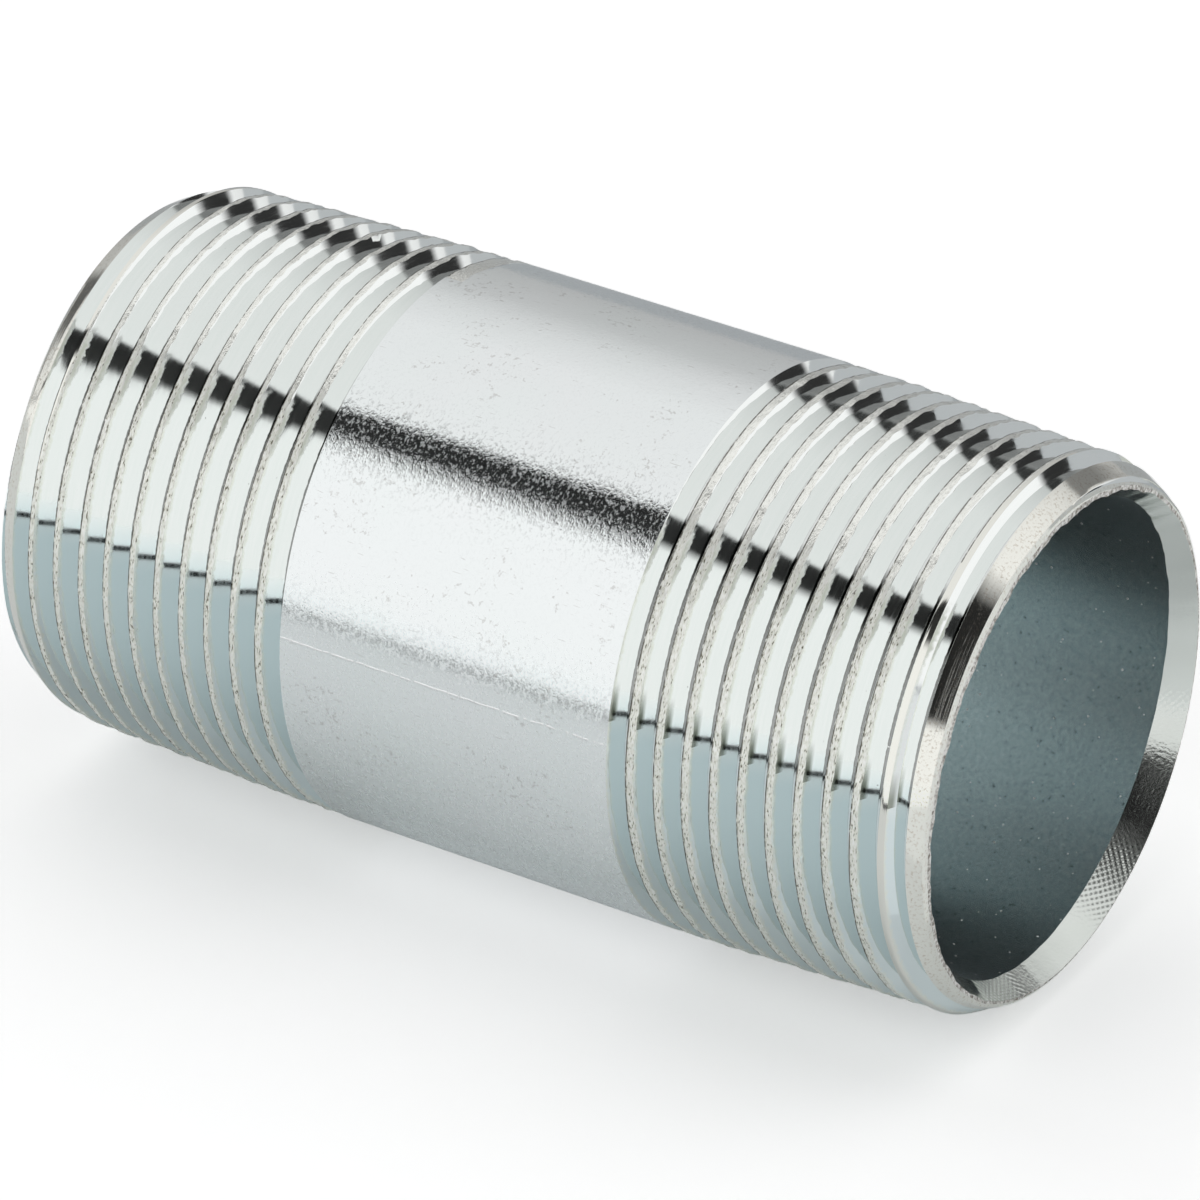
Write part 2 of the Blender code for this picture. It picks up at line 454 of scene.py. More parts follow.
def mill_skin():
    """Rolled pipe under bright zinc: fine grain that breaks up reflections, pits, scratches and a weld."""
    material, tree, shader, place = new_finish("zinc_plated_mill_skin")
    parts = add_node(tree, SEPARATE, links={0: place}).outputs
    cloud = add_node(tree, NOISE, {"Scale": 1 / 8.0, "Detail": 2.0}, {"Vector": place})
    tint = add_node(tree, MIX, {6: linear("#eef4f3"), 7: linear("#f1f3f4")},
                    {"Factor": cloud.outputs[0]}, data_type='RGBA')
    # Grain: specks of matt zinc about 0.3 mm across among brighter zinc
    fine = add_node(tree, VECTOR_MATH, {1: (4.6, 3.3, 3.3)}, {0: place}, operation='MULTIPLY')
    grain = add_node(tree, NOISE, {"Scale": 1.0, "Detail": 2.0, "Roughness": 0.6},
                     {"Vector": fine.outputs[0]})
    matt = add_node(tree, MAP_RANGE, {"From Min": 0.5, "From Max": 0.62, "To Min": 0.0, "To Max": 0.21},
                    {"Value": grain.outputs[0]})
    high, low = BARREL_SHEEN
    plain = add_node(tree, MAP_RANGE, {"From Min": high, "From Max": low, "To Min": 0.06, "To Max": 0.15},
                     {"Value": parts["Z"]})
    rough = add_node(tree, MATH, {}, {0: matt.outputs[0], 1: plain.outputs[0]}, operation='ADD')
    dent = add_node(tree, NOISE, {"Scale": 1 / 1.6, "Detail": 1.0}, {"Vector": place})
    waves = add_node(tree, BUMP, {"Distance": 0.01 * MM}, {"Height": dent.outputs[0]})
    peel = add_node(tree, BUMP, {"Distance": 0.011 * MM},
                    {"Height": grain.outputs[0], "Normal": waves.outputs[0]})
    # Pits: grouped in patches, brown-grey
    speck = add_node(tree, NOISE, {"Scale": 1 / 0.42, "Detail": 4.0, "Roughness": 0.6},
                     {"Vector": place})
    group = add_node(tree, NOISE, {"Scale": 1 / 4.5, "Detail": 1.0}, {"Vector": place})
    patch = add_node(tree, MAP_RANGE, {"From Min": 0.45, "From Max": 0.6, "To Min": 0.14, "To Max": 0.0},
                     {"Value": group.outputs[0]})
    limit = add_node(tree, MATH, {1: 0.575}, {0: patch.outputs[0]}, operation='ADD')
    over = add_node(tree, MATH, {}, {0: speck.outputs[0], 1: limit.outputs[0]}, operation='SUBTRACT')
    pit = add_node(tree, MAP_RANGE, {"From Min": 0.0, "From Max": 0.08, "To Max": 0.36},
                   {"Value": over.outputs[0]})
    pitted = add_node(tree, MIX, {7: linear("#a39e99")},
                      {"Factor": pit.outputs[0], 6: tint.outputs[2]}, data_type='RGBA')
    # Scratches: short and thin, slanted over the pipe
    height = add_node(tree, MATH, {1: AXIS_HEIGHT}, {0: parts["Z"]}, operation='SUBTRACT')
    angle = add_node(tree, MATH, {}, {0: height.outputs[0], 1: parts["Y"]}, operation='ARCTAN2')
    arc = add_node(tree, MATH, {1: PIPE_RADIUS}, {0: angle.outputs[0]}, operation='MULTIPLY')
    flat = add_node(tree, "ShaderNodeCombineXYZ", {}, {"X": parts["X"], "Y": arc.outputs[0]})
    slant = add_node(tree, "ShaderNodeMapping", {"Rotation": (0.0, 0.0, 0.9), "Scale": (0.7, 6.0, 1.0)},
                     {"Vector": flat.outputs[0]})
    hair = add_node(tree, NOISE, {"Scale": 1.0, "Detail": 1.0}, {"Vector": slant.outputs[0]})
    scratch = add_node(tree, MAP_RANGE, {"From Min": 0.71, "From Max": 0.76, "To Max": 0.35},
                       {"Value": hair.outputs[0]})
    scratched = add_node(tree, MIX, {7: linear("#b5b3ae")},
                         {"Factor": scratch.outputs[0], 6: pitted.outputs[2]}, data_type='RGBA')
    # Weld: a broken pale line along the pipe, where the tube's seam was trimmed
    off = add_node(tree, MATH, {1: math.radians(WELD_ANGLE)}, {0: angle.outputs[0]}, operation='SUBTRACT')
    wander = add_node(tree, MATH, {1: 0.008, 2: -0.004}, {0: dent.outputs[0]}, operation='MULTIPLY_ADD')
    from_weld = add_node(tree, MATH, {}, {0: off.outputs[0], 1: wander.outputs[0]}, operation='ADD')
    gap = add_node(tree, MATH, {}, {0: from_weld.outputs[0]}, operation='ABSOLUTE')
    bead = add_node(tree, MAP_RANGE, {"From Min": 0.09 / PIPE_RADIUS, "From Max": 0.03 / PIPE_RADIUS},
                    {"Value": gap.outputs[0]})
    broken = add_node(tree, MAP_RANGE, {"From Min": 0.4, "From Max": 0.5}, {"Value": speck.outputs[0]})
    weld = add_node(tree, MATH, {}, {0: bead.outputs[0], 1: broken.outputs[0]}, operation='MULTIPLY')
    colour = add_node(tree, MIX, {7: linear("#fdfdfd")},
                      {"Factor": weld.outputs[0], 6: scratched.outputs[2]}, data_type='RGBA')
    ridge = add_node(tree, BUMP, {"Distance": 0.03 * MM},
                     {"Height": weld.outputs[0], "Normal": peel.outputs[0]})
    tree.links.new(colour.outputs[2], shader.inputs["Base Color"])
    tree.links.new(rough.outputs[0], shader.inputs["Roughness"])
    tree.links.new(ridge.outputs[0], shader.inputs["Normal"])
    return material


# Painted shade in the groove's root, by height: black high on the side, and almost gone on top and low down
ROOT_SHADE = [
    (0.0, 0.05),
    (24.5, 0.1),
    (25.6, 0.7),
    (27.5, 0.6),
    (32.5, 0.7),
    (35.6, 1.0),
    (36.6, 1.0),
    (37.4, 0.15),
]
# From the middle of a groove to where its flank dulls towards the crest, how much sooner it does so high on
# the side, between which heights that comes in, and between which the dull part ends
DULL_FROM, DULL_TO = 0.7, 0.84
DULL_MORE = 0.09
DULL_RISE = (34.0, 35.2)
DULL_END = (37.5, 36.6)
# How ragged the edge of the dull part is
DULL_RAGGED = 0.3
# Roughness that the dull part adds, and what it adds high on the side
DULL_ROUGH = 0.2
DULL_ROUGH_MORE = 0.5
# Heights between which a painted reflection of the bluish floor turns the flank bluer and a little darker
BLUE_REFLECTION_FADE = (27.0, 24.0)
# Painted shade in a dark corner beside each near crest: the heights that it deepens between, its foot, and
# the distances from the middle of the groove that it comes in between
CORNER_SHADE_FADE = (27.8, 25.8)
CORNER_SHADE_FOOT = 25.25
CORNER_SHADE_SIDE = (0.5, 0.66)


def cut_flank():
    """Thread flank cut by a die and plated: smooth and mirror-like, with faint tool streaks round it."""
    material, tree, shader, place = new_finish("zinc_plated_cut_flank")
    drawn = add_node(tree, VECTOR_MATH, {1: (8.0, 0.25, 0.25)}, {0: place}, operation='MULTIPLY')
    streak = add_node(tree, NOISE, {"Scale": 1.0, "Detail": 2.0}, {"Vector": drawn.outputs[0]})
    clear = add_node(tree, MIX, {6: linear("#f0f4f2"), 7: linear("#f6f8f7")},
                     {"Factor": streak.outputs[0]}, data_type='RGBA')
    # Painted reflection: the flank is painted bluer and a little darker low down, where it faces the bluish
    # floor
    parts = add_node(tree, SEPARATE, links={0: place}).outputs
    level = parts["Z"]
    low = add_node(tree, MAP_RANGE, {"From Min": BLUE_REFLECTION_FADE[0], "From Max": BLUE_REFLECTION_FADE[1]}, {"Value": level})
    tint = add_node(tree, MIX, {7: linear("#e3edee")},
                    {"Factor": low.outputs[0], 6: clear.outputs[2]}, data_type='RGBA')
    # The die tore the metal beside the crest, where the flank is dull and beige-green
    depth = add_node(tree, ATTRIBUTE, attribute_name="from_root")
    ragged = add_node(tree, NOISE, {"Scale": 1 / 0.4, "Detail": 2.0}, {"Vector": place})
    shoulder = add_node(tree, MAP_RANGE,
                        {"From Min": DULL_RISE[0], "From Max": DULL_RISE[1], "To Max": DULL_MORE},
                        {"Value": level})
    reached = add_node(tree, MATH, {}, {0: depth.outputs["Fac"], 1: shoulder.outputs[0]}, operation='ADD')
    jag = add_node(tree, MATH, {1: DULL_RAGGED}, {0: ragged.outputs[0], 2: reached.outputs[0]},
                   operation='MULTIPLY_ADD')
    middle = DULL_RAGGED / 2
    torn_part = add_node(tree, MAP_RANGE, {"From Min": DULL_FROM + middle, "From Max": DULL_TO + middle},
                         {"Value": jag.outputs[0]})
    below_top = add_node(tree, MAP_RANGE, {"From Min": DULL_END[0], "From Max": DULL_END[1]},
                         {"Value": level})
    by_crest = add_node(tree, MATH, {}, {0: torn_part.outputs[0], 1: below_top.outputs[0]},
                        operation='MULTIPLY')
    dulled = add_node(tree, MIX, {7: linear("#ecefe7")},
                      {"Factor": by_crest.outputs[0], 6: tint.outputs[2]}, data_type='RGBA')
    # Painted shade: a dark corner beside each near crest
    upper = add_node(tree, MAP_RANGE,
                     {"From Min": CORNER_SHADE_FADE[0], "From Max": CORNER_SHADE_FADE[1], "To Max": 0.85},
                     {"Value": level})
    over_foot = add_node(tree, MATH, {1: CORNER_SHADE_FOOT}, {0: level}, operation='GREATER_THAN')
    beside = add_node(tree, MAP_RANGE, {"From Min": CORNER_SHADE_SIDE[0], "From Max": CORNER_SHADE_SIDE[1]},
                      {"Value": depth.outputs["Fac"]})
    is_near = add_node(tree, MATH, {1: 0.0}, {0: parts["X"]}, operation='GREATER_THAN')
    high = add_node(tree, MATH, {}, {0: upper.outputs[0], 1: over_foot.outputs[0]}, operation='MULTIPLY')
    on_near = add_node(tree, MATH, {}, {0: high.outputs[0], 1: is_near.outputs[0]}, operation='MULTIPLY')
    corner = add_node(tree, MATH, {}, {0: on_near.outputs[0], 1: beside.outputs[0]}, operation='MULTIPLY')
    shaded = add_node(tree, MIX, {7: linear("#8b9084")},
                      {"Factor": corner.outputs[0], 6: dulled.outputs[2]}, data_type='RGBA')
    # Painted shade darkens the root of the groove, most high on the side
    share_up = add_node(tree, MAP_RANGE, {"From Max": 2 * PIPE_RADIUS}, {"Value": level})
    band = add_node(tree, RAMP, links={"Fac": share_up.outputs[0]})
    stops = band.color_ramp.elements
    for height, shade in ROOT_SHADE[1:-1]:
        stops.new(height / (2 * PIPE_RADIUS))
    for stop, (height, shade) in zip(stops, ROOT_SHADE):
        stop.position = height / (2 * PIPE_RADIUS)
        stop.color = (shade, shade, shade, 1.0)
    reach = add_node(tree, MATH, {1: 0.1, 2: 0.025}, {0: ragged.outputs[0]}, operation='MULTIPLY_ADD')
    near_root_line = add_node(tree, MAP_RANGE, {"From Min": 0.045, "To Min": 1.0, "To Max": 0.0},
                              {"Value": depth.outputs["Fac"], "From Max": reach.outputs[0]})
    painted_root_shade = add_node(tree, MATH, {}, {0: near_root_line.outputs[0], 1: band.outputs[0]},
                    operation='MULTIPLY')
    colour = add_node(tree, MIX, {7: linear("#262622")},
                      {"Factor": painted_root_shade.outputs[0], 6: shaded.outputs[2]}, data_type='RGBA')
    tree.links.new(colour.outputs[2], shader.inputs["Base Color"])
    smooth = add_node(tree, MAP_RANGE, {"From Min": 0.3, "From Max": 0.7, "To Min": 0.03, "To Max": 0.08},
                      {"Value": streak.outputs[0]})
    matt = add_node(tree, MATH, {1: DULL_ROUGH_MORE / DULL_MORE, 2: DULL_ROUGH}, {0: shoulder.outputs[0]},
                    operation='MULTIPLY_ADD')
    rough = add_node(tree, MATH, {}, {0: by_crest.outputs[0], 1: matt.outputs[0], 2: smooth.outputs[0]},
                     operation='MULTIPLY_ADD')
    tree.links.new(rough.outputs[0], shader.inputs["Roughness"])
    lines = add_node(tree, BUMP, {"Distance": 0.0005 * MM}, {"Height": streak.outputs[0]})
    tree.links.new(lines.outputs[0], shader.inputs["Normal"])
    return material


# Crests are smoother and painted white, a painted highlight, where they face up between these heights
SMOOTH_AND_HIGHLIGHT = (36.0, 39.0)


def torn_crest():
    """Crest torn by the die: ragged beige metal with bright burnished specks, painted shade in dark nicks
    along one edge, and a painted highlight where it faces up.
    """
    material, tree, shader, place = new_finish("zinc_plated_torn_crest")
    drawn = add_node(tree, VECTOR_MATH, {1: (7.0, 2.0, 2.0)}, {0: place}, operation='MULTIPLY')
    tear = add_node(tree, NOISE, {"Scale": 1.0, "Detail": 3.0, "Roughness": 0.65},
                    {"Vector": drawn.outputs[0]})
    fleck = add_node(tree, NOISE, {"Scale": 1.4, "Detail": 2.0, "Roughness": 0.6},
                     {"Vector": drawn.outputs[0]})
    base = add_node(tree, RAMP, links={"Fac": fleck.outputs[0]})
    stops = base.color_ramp.elements
    stops[0].position, stops[0].color = 0.32, linear("#6b6656")
    stops[1].position, stops[1].color = 0.62, linear("#fbfcf8")
    middle = stops.new(0.41)
    middle.color = linear("#e9eae0")
    # Painted highlight: where the crest faces up it is painted white, and it is smoother there
    level = add_node(tree, SEPARATE, links={0: place}).outputs["Z"]
    up = add_node(tree, MAP_RANGE, {"From Min": SMOOTH_AND_HIGHLIGHT[0], "From Max": SMOOTH_AND_HIGHLIGHT[1], "To Max": 0.8},
                  {"Value": level})
    lit = add_node(tree, MIX, {7: linear("#fcfdf8")},
                   {"Factor": up.outputs[0], 6: base.outputs[0]}, data_type='RGBA')
    # Painted shade: ragged dark nicks along the crest's edge on the -X side
    side = add_node(tree, ATTRIBUTE, attribute_name="groove_side")
    edge = add_node(tree, MAP_RANGE, {"From Min": 0.42, "From Max": 0.6}, {"Value": side.outputs["Fac"]})
    nick = add_node(tree, MAP_RANGE, {"From Min": 0.64, "From Max": 0.52}, {"Value": tear.outputs[0]})
    edge_shade = add_node(tree, MATH, {}, {0: edge.outputs[0], 1: nick.outputs[0]}, operation='MULTIPLY')
    colour = add_node(tree, MIX, {7: linear("#4a453b")},
                      {"Factor": edge_shade.outputs[0], 6: lit.outputs[2]}, data_type='RGBA')
    tree.links.new(colour.outputs[2], shader.inputs["Base Color"])
    dull = add_node(tree, MAP_RANGE, {"From Min": 0.35, "From Max": 0.65, "To Min": 0.6, "To Max": 0.4},
                    {"Value": fleck.outputs[0]})
    rough = add_node(tree, MIX, {3: 0.16}, {"Factor": up.outputs[0], 2: dull.outputs[0]})
    tree.links.new(rough.outputs[0], shader.inputs["Roughness"])
    ragged = add_node(tree, BUMP, {"Distance": 0.08 * MM}, {"Height": tear.outputs[0]})
    tree.links.new(ragged.outputs[0], shader.inputs["Normal"])
    return material


# Towards the end face the plate gets thin between these two places along the pipe
THIN_PLATE = (HALF - 1.9, HALF - 1.2)


def turned_lead():
    """Lead and lip turned on the pipe's end: fine tool lines, and brown flecks where the plate is thin."""
    material, tree, shader, place = new_finish("zinc_plated_turned_lead")
    drawn = add_node(tree, VECTOR_MATH, {1: (9.0, 0.35, 0.35)}, {0: place}, operation='MULTIPLY')
    line = add_node(tree, NOISE, {"Scale": 1.0, "Detail": 2.0}, {"Vector": drawn.outputs[0]})
    mottle = add_node(tree, NOISE, {"Scale": 1 / 0.22, "Detail": 3.0, "Roughness": 0.6},
                      {"Vector": place})
    along = add_node(tree, SEPARATE, links={0: place}).outputs["X"]
    off_middle = add_node(tree, MATH, {}, {0: along}, operation='ABSOLUTE')
    by_the_end = add_node(tree, MAP_RANGE, {"From Min": THIN_PLATE[0], "From Max": THIN_PLATE[1]},
                          {"Value": off_middle.outputs[0]})
    stain = add_node(tree, MAP_RANGE, {"From Min": 0.52, "From Max": 0.72, "To Max": 0.8},
                     {"Value": mottle.outputs[0]})
    stained = add_node(tree, MATH, {}, {0: stain.outputs[0], 1: by_the_end.outputs[0]},
                       operation='MULTIPLY')
    colour = add_node(tree, MIX, {6: linear("#eeeee7"), 7: linear("#c8bfb1")},
                      {"Factor": stained.outputs[0]}, data_type='RGBA')
    tree.links.new(colour.outputs[2], shader.inputs["Base Color"])
    rough = add_node(tree, MAP_RANGE, {"To Min": 0.08, "To Max": 0.24}, {"Value": stained.outputs[0]})
    tree.links.new(rough.outputs[0], shader.inputs["Roughness"])
    ridges = add_node(tree, BUMP, {"Distance": 0.004 * MM}, {"Height": line.outputs[0]})
    tree.links.new(ridges.outputs[0], shader.inputs["Normal"])
    return material


def faced_land():
    """Cut-off face of the pipe wall: rough, brown-grey, with torn rings."""
    material, tree, shader, place = new_finish("zinc_plated_faced_land")
    mottle = add_node(tree, NOISE, {"Scale": 1 / 0.3, "Detail": 3.0, "Roughness": 0.65},
                      {"Vector": place})
    base = add_node(tree, RAMP, links={"Fac": mottle.outputs[0]})
    stops = base.color_ramp.elements
    stops[0].position, stops[0].color = 0.34, linear("#7d7468")
    stops[1].position, stops[1].color = 0.6, linear("#f2f0ec")
    tree.links.new(base.outputs[0], shader.inputs["Base Color"])
    shader.inputs["Roughness"].default_value = 0.4
    ragged = add_node(tree, BUMP, {"Distance": 0.1 * MM}, {"Height": mottle.outputs[0]})
    tree.links.new(ragged.outputs[0], shader.inputs["Normal"])
    return material


# Chatter of the reamer: the count of waves round the mouth, their length along X, how often it comes and goes
# round the mouth and with what phase, and the heights over the axis between which it sets in
CHATTER_ROUND = 190.0
CHATTER_LENGTH = 0.4
CHATTER_FLUTES = 7.0
CHATTER_PHASE = 1.85
CHATTER_RISE = (-4.0, -9.0)


def reamed_mouth():
    """Mouth chamfered by a fluted reamer: bright, with a fine lattice of chatter that comes and goes."""
    material, tree, shader, place = new_finish("zinc_plated_reamed_mouth")
    parts = add_node(tree, SEPARATE, links={0: place}).outputs
    height = add_node(tree, MATH, {1: AXIS_HEIGHT}, {0: parts["Z"]}, operation='SUBTRACT')
    angle = add_node(tree, MATH, {}, {0: parts["Y"], 1: height.outputs[0]}, operation='ARCTAN2')
    round_it = add_node(tree, MATH, {1: CHATTER_ROUND}, {0: angle.outputs[0]}, operation='MULTIPLY')
    along = add_node(tree, MATH, {1: math.tau / CHATTER_LENGTH}, {0: parts["X"]}, operation='MULTIPLY')
    wave_a = add_node(tree, MATH, {}, {0: round_it.outputs[0]}, operation='SINE')
    wave_b = add_node(tree, MATH, {}, {0: along.outputs[0]}, operation='SINE')
    lattice = add_node(tree, MATH, {}, {0: wave_a.outputs[0], 1: wave_b.outputs[0]}, operation='MULTIPLY')
    cloud = add_node(tree, NOISE, {"Scale": 1 / 5.0, "Detail": 1.0}, {"Vector": place})
    turned = add_node(tree, MATH, {1: CHATTER_FLUTES, 2: CHATTER_PHASE}, {0: angle.outputs[0]},
                      operation='MULTIPLY_ADD')
    flute = add_node(tree, MATH, {}, {0: turned.outputs[0]}, operation='SINE')
    zone = add_node(tree, MAP_RANGE, {"From Min": 0.1, "From Max": 0.7}, {"Value": flute.outputs[0]})
    below = add_node(tree, MAP_RANGE, {"From Min": CHATTER_RISE[0], "From Max": CHATTER_RISE[1]},
                     {"Value": height.outputs[0]})
    deep = add_node(tree, MATH, {}, {0: lattice.outputs[0], 1: below.outputs[0]}, operation='MULTIPLY')
    chatter = add_node(tree, MATH, {}, {0: deep.outputs[0], 1: zone.outputs[0]}, operation='MULTIPLY')
    mottle = add_node(tree, NOISE, {"Scale": 1 / 0.25, "Detail": 2.0}, {"Vector": place})
    uneven = add_node(tree, MATH, {1: 1.1}, {0: mottle.outputs[0], 2: chatter.outputs[0]},
                      operation='MULTIPLY_ADD')
    tint = add_node(tree, MIX, {6: linear("#cbd0cb"), 7: linear("#dfe3df")},
                    {"Factor": cloud.outputs[0]}, data_type='RGBA')
    tree.links.new(tint.outputs[2], shader.inputs["Base Color"])
    rough = add_node(tree, MAP_RANGE, {"From Min": 0.3, "From Max": 0.7, "To Min": 0.1, "To Max": 0.22},
                     {"Value": cloud.outputs[0]})
    tree.links.new(rough.outputs[0], shader.inputs["Roughness"])
    cuts = add_node(tree, BUMP, {"Distance": 0.011 * MM}, {"Height": uneven.outputs[0]})
    tree.links.new(cuts.outputs[0], shader.inputs["Normal"])
    return material


def drawn_bore():
    """Inside of the pipe: thin dull zinc over scale, slate grey, with pale and dark specks."""
    material, tree, shader, place = new_finish("dull_zinc_bore")
    speck = add_node(tree, NOISE, {"Scale": 1 / 0.32, "Detail": 1.0}, {"Vector": place})
    grit = add_node(tree, "ShaderNodeTexVoronoi", {"Scale": 1 / 0.62}, {"Vector": place})
    some = add_node(tree, "ShaderNodeSeparateColor", links={0: grit.outputs["Color"]})
    size = add_node(tree, MAP_RANGE, {"From Min": 0.45, "From Max": 1.0, "To Min": 0.0, "To Max": 0.15},
                    {"Value": some.outputs[0]})
    pale = add_node(tree, MATH, {}, {0: grit.outputs["Distance"], 1: size.outputs[0]},
                    operation='LESS_THAN')
    tint = add_node(tree, MIX, {6: linear("#d0dfe1"), 7: linear("#fcffff")},
                    {"Factor": speck.outputs[0]}, data_type='RGBA')
    dark = add_node(tree, MAP_RANGE, {"From Min": 0.28, "From Max": 0.23, "To Max": 0.6},
                    {"Value": speck.outputs[0]})
    lit = add_node(tree, MIX, {7: linear("#ffffff")},
                   {"Factor": pale.outputs[0], 6: tint.outputs[2]}, data_type='RGBA')
    colour = add_node(tree, MIX, {7: linear("#8b9492")},
                      {"Factor": dark.outputs[0], 6: lit.outputs[2]}, data_type='RGBA')
    tree.links.new(colour.outputs[2], shader.inputs["Base Color"])
    rough = add_node(tree, MATH, {1: 0.5, 2: 0.23}, {0: pale.outputs[0]}, operation='MULTIPLY_ADD')
    tree.links.new(rough.outputs[0], shader.inputs["Roughness"])
    grain = add_node(tree, BUMP, {"Distance": 0.008 * MM}, {"Height": speck.outputs[0]})
    tree.links.new(grain.outputs[0], shader.inputs["Normal"])
    return material


FINISHES = {
    "mill_skin": mill_skin,
    "cut_flank": cut_flank,
    "torn_crest": torn_crest,
    "turned_lead": turned_lead,
    "faced_land": faced_land,
    "reamed_mouth": reamed_mouth,
    "drawn_bore": drawn_bore,
}


# Studio
# Tone of the light tent by angle up from the horizon behind the nipple: 90 is overhead, and 180 is the
# horizon in front
TENT_TONES = [(0, 0.47), (26, 0.56), (42, 0.74), (60, 0.86), (100, 0.9), (122, 1.0), (180, 1.0)]
# Gaps between the tent's panels: from and to along X, as a direction's x, then the angle from and to, each
# angle's softness in degrees, the tone in the gap, and how many degrees it leans back over LEAN_X
TENT_GAPS = [
    (-1.5, 0.20, 105.0, 120.0, 1.5, 4.0, 0.02, 0.0),
    (-0.51, 0.20, 112.0, 126.5, 2.0, 4.0, 0.03, 8.0),
    (0.20, 0.56, 84.0, 156.0, 16.0, 5.0, 0.02, 0.0),
    (0.54, 0.80, 60.0, 158.0, 30.0, 4.0, 0.22, 0.0),
    (0.54, 0.80, 92.0, 158.0, 26.0, 4.0, 0.02, 0.0),
    (-0.36, -0.08, 6.0, 33.5, 18.0, 2.0, 0.04, 0.0),
    (-0.11, 0.24, -2.0, 33.5, 18.0, 2.0, 0.22, 0.0),
    (0.42, 0.62, -5.0, 12.0, 2.0, 2.5, 0.03, 0.0),
    (-1.5, -0.86, 14.0, 48.0, 4.0, 4.0, 0.12, 0.0),
]
LEAN_X = (-0.486, -0.456)
GAP_SOFT_X = 0.03
# Towards the right end the tent is white all round
RIGHT_FROM, RIGHT_TO = 0.1, 0.5
# The floor is a plain sheet for the camera. Bright metal sees paper with a grey back, and in front the dark
# edge of the table between two places along Y. It also sees light past that edge and on the right, while the
# glow that makes the floor white is for the camera alone.
FLOOR_SIZE = 6000.0
FLOOR_ROUGH = 0.9
EDGE_TONE = 0.02
SHEET = "#fbfbfb"
PAPER = "#fbfeff"
BACK_PAPER = "#c2c6c9"
BACK_FROM = 90.0
TABLE_EDGE = (-188.0, -150.0)
FLOOR_GLOW = 0.38
FRONT_GLOW = 0.31
RIGHT_GLOW = 0.12
RIGHT_FLOOR = 55.0


def light_tent():
    """White panels all round, with the gaps between them that draw the dark lines on bright metal."""
    tent = bpy.data.worlds.new("light_tent")
    bpy.context.scene.world = tent
    tent.use_nodes = True
    tree = tent.node_tree
    towards = add_node(tree, COORDINATES).outputs["Generated"]
    parts = add_node(tree, SEPARATE, links={0: towards}).outputs
    up = add_node(tree, MATH, {}, {0: parts["Z"]}, operation='ABSOLUTE')
    radians = add_node(tree, MATH, {}, {0: up.outputs[0], 1: parts["Y"]}, operation='ARCTAN2')
    angle = add_node(tree, MATH, {}, {0: radians.outputs[0]}, operation='DEGREES')
    height = add_node(tree, MATH, {1: 180.0}, {0: angle.outputs[0]}, operation='DIVIDE')
    panels = add_node(tree, RAMP, links={"Fac": height.outputs[0]})
    stops = panels.color_ramp.elements
    for place, tone in TENT_TONES[1:-1]:
        stops.new(place / 180)
    for stop, (place, tone) in zip(stops, TENT_TONES):
        stop.position = place / 180
        stop.color = (tone, tone, tone, 1.0)
    to_right = add_node(tree, MAP_RANGE, {"From Min": RIGHT_FROM, "From Max": RIGHT_TO},
                        {"Value": parts["X"]})
    light = add_node(tree, MIX, {7: (1, 1, 1, 1)}, {"Factor": to_right.outputs[0], 6: panels.outputs[0]},
                     data_type='RGBA').outputs[2]
    leftwards = add_node(tree, MAP_RANGE, {"From Min": LEAN_X[1], "From Max": LEAN_X[0]},
                         {"Value": parts["X"]})
    for x_from, x_to, angle_from, angle_to, soft_from, soft_to, tone, lean in TENT_GAPS:
        leant = add_node(tree, MATH, {1: lean}, {0: leftwards.outputs[0], 2: angle.outputs[0]},
                         operation='MULTIPLY_ADD')
        edges = (
            (parts["X"], x_from, x_from + GAP_SOFT_X),
            (parts["X"], x_to, x_to - GAP_SOFT_X),
            (leant.outputs[0], angle_from, angle_from + soft_from),
            (leant.outputs[0], angle_to, angle_to - soft_to),
        )
        gap = None
        for value, start, stop in edges:
            side = add_node(tree, MAP_RANGE, {"From Min": start, "From Max": stop}, {"Value": value})
            if gap is not None:
                side = add_node(tree, MATH, {}, {0: gap, 1: side.outputs[0]}, operation='MULTIPLY')
            gap = side.outputs[0]
        dark = add_node(tree, MIX, {7: (tone, tone, tone, 1)}, {"Factor": gap, 6: light}, data_type='RGBA')
        light = dark.outputs[2]
    path = add_node(tree, LIGHT_PATH)
    seen = add_node(tree, MIX, {7: (1, 1, 1, 1)},
                    {"Factor": path.outputs["Is Camera Ray"], 6: light}, data_type='RGBA')
    tree.links.new(seen.outputs[2], tree.nodes["Background"].inputs["Color"])


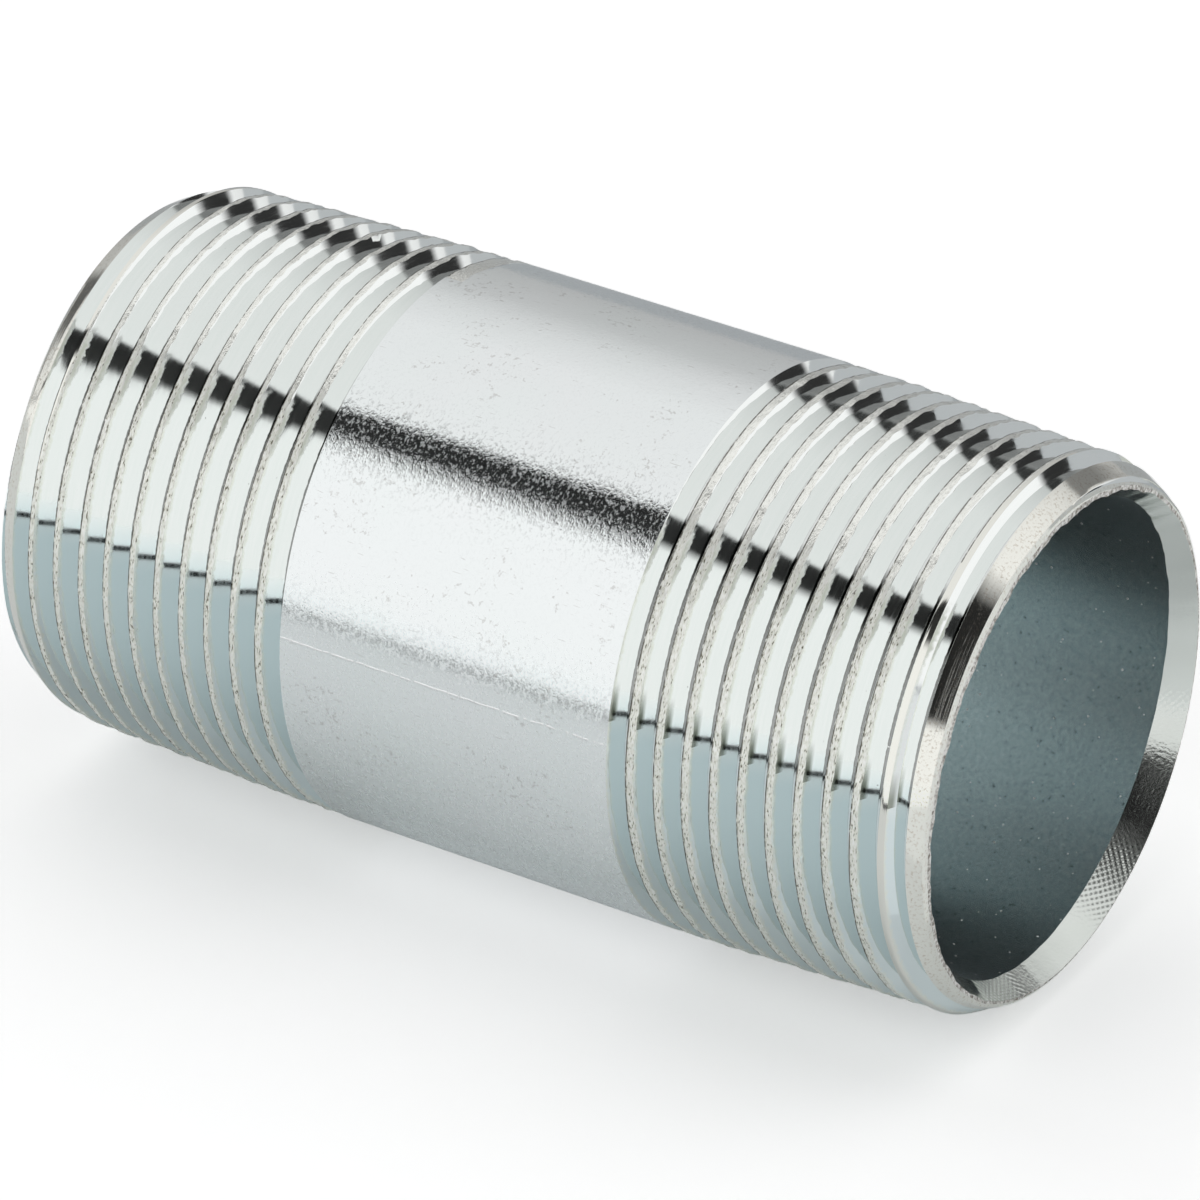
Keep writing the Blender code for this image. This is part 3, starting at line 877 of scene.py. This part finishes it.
def white_floor():
    """White paper, lit to plain white for the camera. Bright metal also sees its back and its front edge."""
    bpy.ops.object.select_all(action='DESELECT')
    bpy.ops.mesh.primitive_plane_add(size=FLOOR_SIZE * MM)
    plane = bpy.context.object
    plane.name = "floor"
    material = bpy.data.materials.new("white_paper")
    material.use_nodes = True
    tree = material.node_tree
    shader = tree.nodes["Principled BSDF"]
    shader.inputs["Roughness"].default_value = FLOOR_ROUGH
    shader.inputs["Specular IOR Level"].default_value = 0.0
    place = add_node(tree, COORDINATES).outputs["Object"]
    parts = add_node(tree, SEPARATE, links={0: place}).outputs
    depth = parts["Y"]
    is_right = add_node(tree, MATH, {1: RIGHT_FLOOR * MM}, {0: parts["X"]}, operation='GREATER_THAN')
    is_back = add_node(tree, MATH, {1: BACK_FROM * MM}, {0: depth}, operation='GREATER_THAN')
    is_table = add_node(tree, MATH, {1: TABLE_EDGE[1] * MM}, {0: depth}, operation='GREATER_THAN')
    is_front = add_node(tree, MATH, {1: TABLE_EDGE[0] * MM}, {0: depth}, operation='LESS_THAN')
    is_lit = add_node(tree, MATH, {}, {0: is_front.outputs[0], 1: is_right.outputs[0]}, operation='MAXIMUM')
    is_paper = add_node(tree, MATH, {}, {0: is_table.outputs[0], 1: is_lit.outputs[0]}, operation='MAXIMUM')
    paper = add_node(tree, MIX, {6: linear(PAPER), 7: linear(BACK_PAPER)},
                     {"Factor": is_back.outputs[0]}, data_type='RGBA')
    table = add_node(tree, MIX, {6: (EDGE_TONE, EDGE_TONE, EDGE_TONE, 1)},
                     {"Factor": is_paper.outputs[0], 7: paper.outputs[2]}, data_type='RGBA')
    path = add_node(tree, LIGHT_PATH)
    colour = add_node(tree, MIX, {6: linear(SHEET)},
                      {"Factor": path.outputs["Is Glossy Ray"], 7: table.outputs[2]}, data_type='RGBA')
    tree.links.new(colour.outputs[2], shader.inputs["Base Color"])
    in_front = add_node(tree, MATH, {1: FRONT_GLOW}, {0: is_front.outputs[0]}, operation='MULTIPLY')
    on_right = add_node(tree, MATH, {1: RIGHT_GLOW}, {0: is_right.outputs[0]}, operation='MULTIPLY')
    beyond = add_node(tree, MATH, {}, {0: in_front.outputs[0], 1: on_right.outputs[0]},
                      operation='MAXIMUM')
    far_glow = add_node(tree, MATH, {}, {0: beyond.outputs[0], 1: path.outputs["Is Glossy Ray"]},
                        operation='MULTIPLY')
    glow = add_node(tree, MATH, {1: FLOOR_GLOW},
                    {0: path.outputs["Is Camera Ray"], 2: far_glow.outputs[0]}, operation='MULTIPLY_ADD')
    shader.inputs["Emission Color"].default_value = (1.0, 1.0, 1.0, 1.0)
    tree.links.new(glow.outputs[0], shader.inputs["Emission Strength"])
    plane.data.materials.append(material)


def camera():
    data = bpy.data.cameras.new("camera")
    data.lens = LENS
    data.sensor_width = SENSOR
    data.clip_start = CLIP_START * MM
    eye = bpy.data.objects.new("camera", data)
    bpy.context.scene.collection.objects.link(eye)
    eye.location = CAMERA_PLACE * MM
    eye.rotation_euler = (CAMERA_AIM - CAMERA_PLACE).to_track_quat('-Z', 'Y').to_euler()
    bpy.context.scene.camera = eye


nipple = nipple_mesh()
for new_material in FINISHES.values():
    nipple.data.materials.append(new_material())
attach(nipple, BODY)
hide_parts(NODE)
white_floor()
light_tent()
camera()
bpy.context.scene.view_settings.view_transform = 'Standard'
